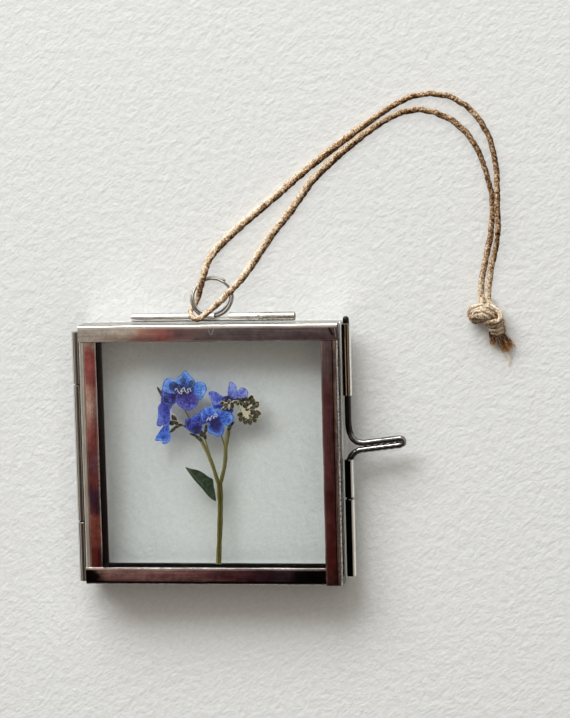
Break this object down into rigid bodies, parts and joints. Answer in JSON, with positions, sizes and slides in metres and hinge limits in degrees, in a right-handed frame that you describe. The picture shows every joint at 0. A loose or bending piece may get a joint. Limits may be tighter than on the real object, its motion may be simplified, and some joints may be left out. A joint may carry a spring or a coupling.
{
  "type": "pressed flower frame",
  "caption": "Small square hinged metal frame that holds a pressed blue forget-me-not sprig between glass panes, with a sliding wire latch and a twine loop on a ring.",
  "frame": {"origin": "under the middle of the box round the frame, hinge, latch, hanger and ring, without the twine, on the surface that the frame lies on", "axes": "+Z out of the frame's front face, upwards as it lies; +Y towards the ring; +X from the hinge side to the latch side"},
  "size_m": [0.0849, 0.0929, 0.0071],
  "materials": {
    "frame_metal": "polished silver-grey plated sheet metal with rounded folds, lapped corners, fine scratches and small dents",
    "tube_metal": "polished rolled tube, a little darker than the frame, with solder marks on the hanger",
    "ring_metal": "bright drawn wire",
    "latch_metal": "dark plated wire, glossy, with tool marks on the handle's lower run",
    "pane_glass": "clear float glass with a faint green tint at its edges",
    "jute_twine": "twisted brown jute with stray fibres and frayed ends",
    "dried_stem": "dry olive-green stalk with brown streaks",
    "dried_leaf": "dry dark green leaf, matt, with a midrib",
    "dried_petal": "thin dry blue to violet petals, paler at their edges, with darker veins and white scales at the eye",
    "dried_calyx": "near-black brown calyces and buds with cream hairs"
  },
  "bodies": {
    "back_leaf": {"back_frame": "frame_metal", "hinge_knuckle_middle": "tube_metal", "hinge_pin": "tube_metal", "latch_receiver": "tube_metal", "hanger_tube": "tube_metal", "hanging_ring": "ring_metal", "back_glass": "pane_glass", "twine_loop": "jute_twine", "twine_knot": "jute_twine", "twine_end_left": "jute_twine", "twine_end_right": "jute_twine", "sprig_stem": "dried_stem", "sprig_branch_left": "dried_stem", "sprig_branch_right": "dried_stem", "sprig_stalk_left": "dried_stem", "sprig_stalk_right": "dried_stem", "sprig_stalk_top": "dried_stem", "sprig_leaf": "dried_leaf", "flower_top_left": "dried_petal", "flower_small": "dried_petal", "flower_centre": "dried_petal", "flower_upper_right": "dried_petal", "flower_hanging": "dried_petal", "bud_cluster_left": "dried_calyx", "bud_cluster_right": "dried_calyx", "calyx_left": "dried_calyx", "calyx_right": "dried_calyx", "sepal_tip": "dried_calyx"},
    "front_leaf": {"front_frame": "frame_metal", "front_glass": "pane_glass", "hinge_knuckle_top": "tube_metal", "hinge_knuckle_bottom": "tube_metal", "latch_tube_upper": "tube_metal", "latch_tube_lower": "tube_metal"},
    "latch": {"latch_wire": "latch_metal"}
  },
  "joints": [
    {"name": "front_leaf_hinge", "type": "hinge", "parent": "back_leaf", "child": "front_leaf", "pos_m": [-0.03122, -0.00444, 0.00355], "axis": [0, -1, 0], "range_deg": [0, 180]},
    {"name": "latch_slide", "type": "slide", "parent": "front_leaf", "child": "latch", "axis": [0, 1, 0], "range_m": [0, 0.005]}
  ]
}
